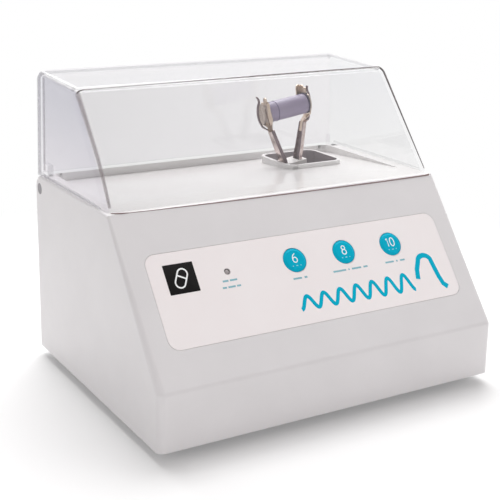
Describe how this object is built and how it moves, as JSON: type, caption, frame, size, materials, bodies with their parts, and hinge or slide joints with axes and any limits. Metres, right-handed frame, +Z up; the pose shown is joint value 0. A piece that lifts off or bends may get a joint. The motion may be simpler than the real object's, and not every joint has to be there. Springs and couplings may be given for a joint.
{
  "type": "dental amalgamator",
  "caption": "Bench capsule mixer: sloped white housing with a clear hinged lid over a tray, round front keys, and a motor-driven two-armed fork that shakes a capsule on a skewed bush.",
  "frame": {"origin": "on the table, under the middle of the housing", "axes": "+Z up, +X along the width to the right as seen from the front, the front faces -Y"},
  "size_m": [0.21, 0.164, 0.1703],
  "materials": {
    "housing_white": "satin",
    "label_film": "satin",
    "key_cyan": "satin",
    "lid_clear": "polished",
    "base_plastic": "moulded",
    "foot_rubber": "matte",
    "screw_steel": "zinc plated",
    "pin_steel": "turned",
    "panel_steel": "powder coated",
    "black_plastic": "moulded",
    "plated_contact": "nickel plated",
    "frame_steel": "zinc plated sheet",
    "motor_steel": "painted",
    "ferrite": "sintered",
    "brass": "drawn",
    "carbon": "pressed carbon",
    "bronze": "sintered",
    "board_green": "solder mask",
    "lamination": "laminated",
    "copper": "enamelled wire",
    "capacitor_sleeve": "shrunk sleeve",
    "aluminium": "extruded",
    "led_lens": "clear lens",
    "reed_glass": "drawn",
    "cable_jacket": "extruded",
    "ribbon_grey": "extruded",
    "spring_steel": "drawn",
    "magnet": "nickel plated",
    "shaft_steel": "ground",
    "bush_steel": "turned",
    "fan_nylon": "moulded",
    "counterweight_steel": "zinc plated",
    "hub_nylon": "moulded",
    "arm_steel": "nickel plated spring steel",
    "capsule_body": "moulded",
    "capsule_cap": "moulded"
  },
  "bodies": {
    "chassis": {"housing_shell": "housing_white", "front_label": "label_film", "base_plate": "base_plastic", "base_screws": "screw_steel", "rubber_feet": "foot_rubber", "hinge_pins": "pin_steel", "rear_panel": "panel_steel", "panel_screws": "screw_steel", "mains_inlet": "black_plastic", "inlet_pins": "plated_contact", "switch_frame": "black_plastic", "motor_frame": "frame_steel", "isolators": "foot_rubber", "isolator_screws": "screw_steel", "motor_can": "motor_steel", "motor_end_cap": "black_plastic", "motor_screws": "screw_steel", "field_magnets": "ferrite", "brush_holders": "brass", "carbon_brushes": "carbon", "shaft_bushes": "bronze", "control_board": "board_green", "board_standoffs": "brass", "board_screws": "screw_steel", "transformer_core": "lamination", "transformer_coil": "copper", "capacitors": "capacitor_sleeve", "heatsink": "aluminium", "keypad_board": "board_green", "tact_switches": "black_plastic", "indicator_led": "led_lens", "reed_switch": "reed_glass", "power_leads": "cable_jacket", "ribbon_cable": "ribbon_grey", "fork_springs": "spring_steel"},
    "lid": {"lid_shell": "lid_clear", "lid_magnet": "magnet"},
    "key_short": {"key_short": "key_cyan"},
    "key_medium": {"key_medium": "key_cyan"},
    "key_long": {"key_long": "key_cyan"},
    "power_rocker": {"power_rocker": "black_plastic"},
    "shaft": {"drive_shaft": "shaft_steel", "rotor_core": "lamination", "commutator": "copper", "cooling_fan": "fan_nylon", "skew_bush": "bush_steel", "bearing_inner_rings": "shaft_steel", "counterweights": "counterweight_steel"},
    "fork": {"fork_hub": "hub_nylon", "bearing_outer_rings": "shaft_steel", "bearing_balls": "shaft_steel", "arm_clamp": "hub_nylon", "arm_left": "arm_steel", "arm_right": "arm_steel", "arm_screws": "screw_steel", "clip_left": "arm_steel", "clip_right": "arm_steel"},
    "capsule": {"capsule_body": "capsule_body", "capsule_cap": "capsule_cap"}
  },
  "joints": [
    {"name": "lid_hinge", "type": "hinge", "parent": "chassis", "child": "lid", "pos_m": [0, 0.0736, 0.1035], "axis": [-1, 0, 0], "range_deg": [0, 90]},
    {"name": "key_short_press", "type": "slide", "parent": "chassis", "child": "key_short", "axis": [0, 0.7815, -0.6239], "range_m": [0, 0.0004], "stiffness_N_per_m": 1500},
    {"name": "key_medium_press", "type": "slide", "parent": "chassis", "child": "key_medium", "axis": [0, 0.7815, -0.6239], "range_m": [0, 0.0004], "stiffness_N_per_m": 1500},
    {"name": "key_long_press", "type": "slide", "parent": "chassis", "child": "key_long", "axis": [0, 0.7815, -0.6239], "range_m": [0, 0.0004], "stiffness_N_per_m": 1500},
    {"name": "power_rocker_tilt", "type": "hinge", "parent": "chassis", "child": "power_rocker", "pos_m": [-0.082, 0.0756, 0.06], "axis": [1, 0, 0], "range_deg": [0, 16]},
    {"name": "shaft_spin", "type": "hinge", "parent": "chassis", "child": "shaft", "pos_m": [0.0575, 0.047, 0.055], "axis": [1, 0, 0], "continuous": true},
    {"name": "fork_swing", "type": "hinge", "parent": "shaft", "child": "fork", "pos_m": [0.0575, 0.047, 0.055], "axis": [0.989, 0, 0.1478], "continuous": true, "deforming": ["fork_springs"]},
    {"name": "capsule_lift", "type": "slide", "parent": "fork", "child": "capsule", "axis": [-0.1478, 0, 0.989], "range_m": [0, 0.012]}
  ],
  "couplings": [
    {"joint": "fork_swing", "follows": "shaft_spin", "ratio": -1}
  ]
}
